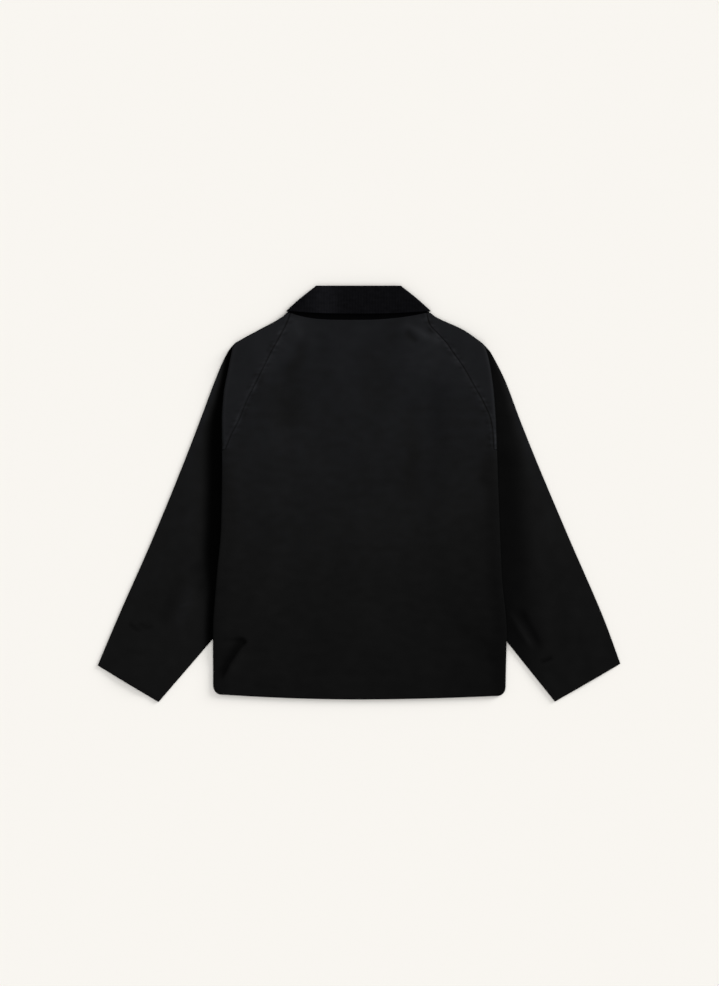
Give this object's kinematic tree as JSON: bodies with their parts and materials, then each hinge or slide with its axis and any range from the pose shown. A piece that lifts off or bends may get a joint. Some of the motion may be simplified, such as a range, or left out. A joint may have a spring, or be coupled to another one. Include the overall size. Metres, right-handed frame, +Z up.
{
  "type": "reversible coat",
  "caption": "Short boxy raglan coat with a folded ribbed collar, laid flat on its front with both sleeves drawn down beside the body.",
  "frame": {"origin": "middle of the coat's outline in plan, on the plane of the surface it lies on", "axes": "+Z up out of the surface, through the coat's back; +Y from the hem towards the collar; +X towards the sleeve on the right of the picture, the wearer's right"},
  "size_m": [0.8942, 0.7118, 0.0128],
  "materials": {
    "coat_cloth": "matt black woven cloth with a soft sheen",
    "collar_cloth": "black ribbed pile cloth",
    "stud_metal": "dark satin"
  },
  "bodies": {
    "root": {"back": "coat_cloth", "front_left": "coat_cloth", "front_right": "coat_cloth", "sleeve_back_left": "coat_cloth", "sleeve_back_right": "coat_cloth", "sleeve_front_left": "coat_cloth", "sleeve_front_right": "coat_cloth", "collar_fall": "collar_cloth", "collar_stand": "collar_cloth", "press_stud_1": "stud_metal", "press_stud_2": "stud_metal", "press_stud_3": "stud_metal", "press_stud_4": "stud_metal", "press_stud_5": "stud_metal"}
  },
  "joints": []
}
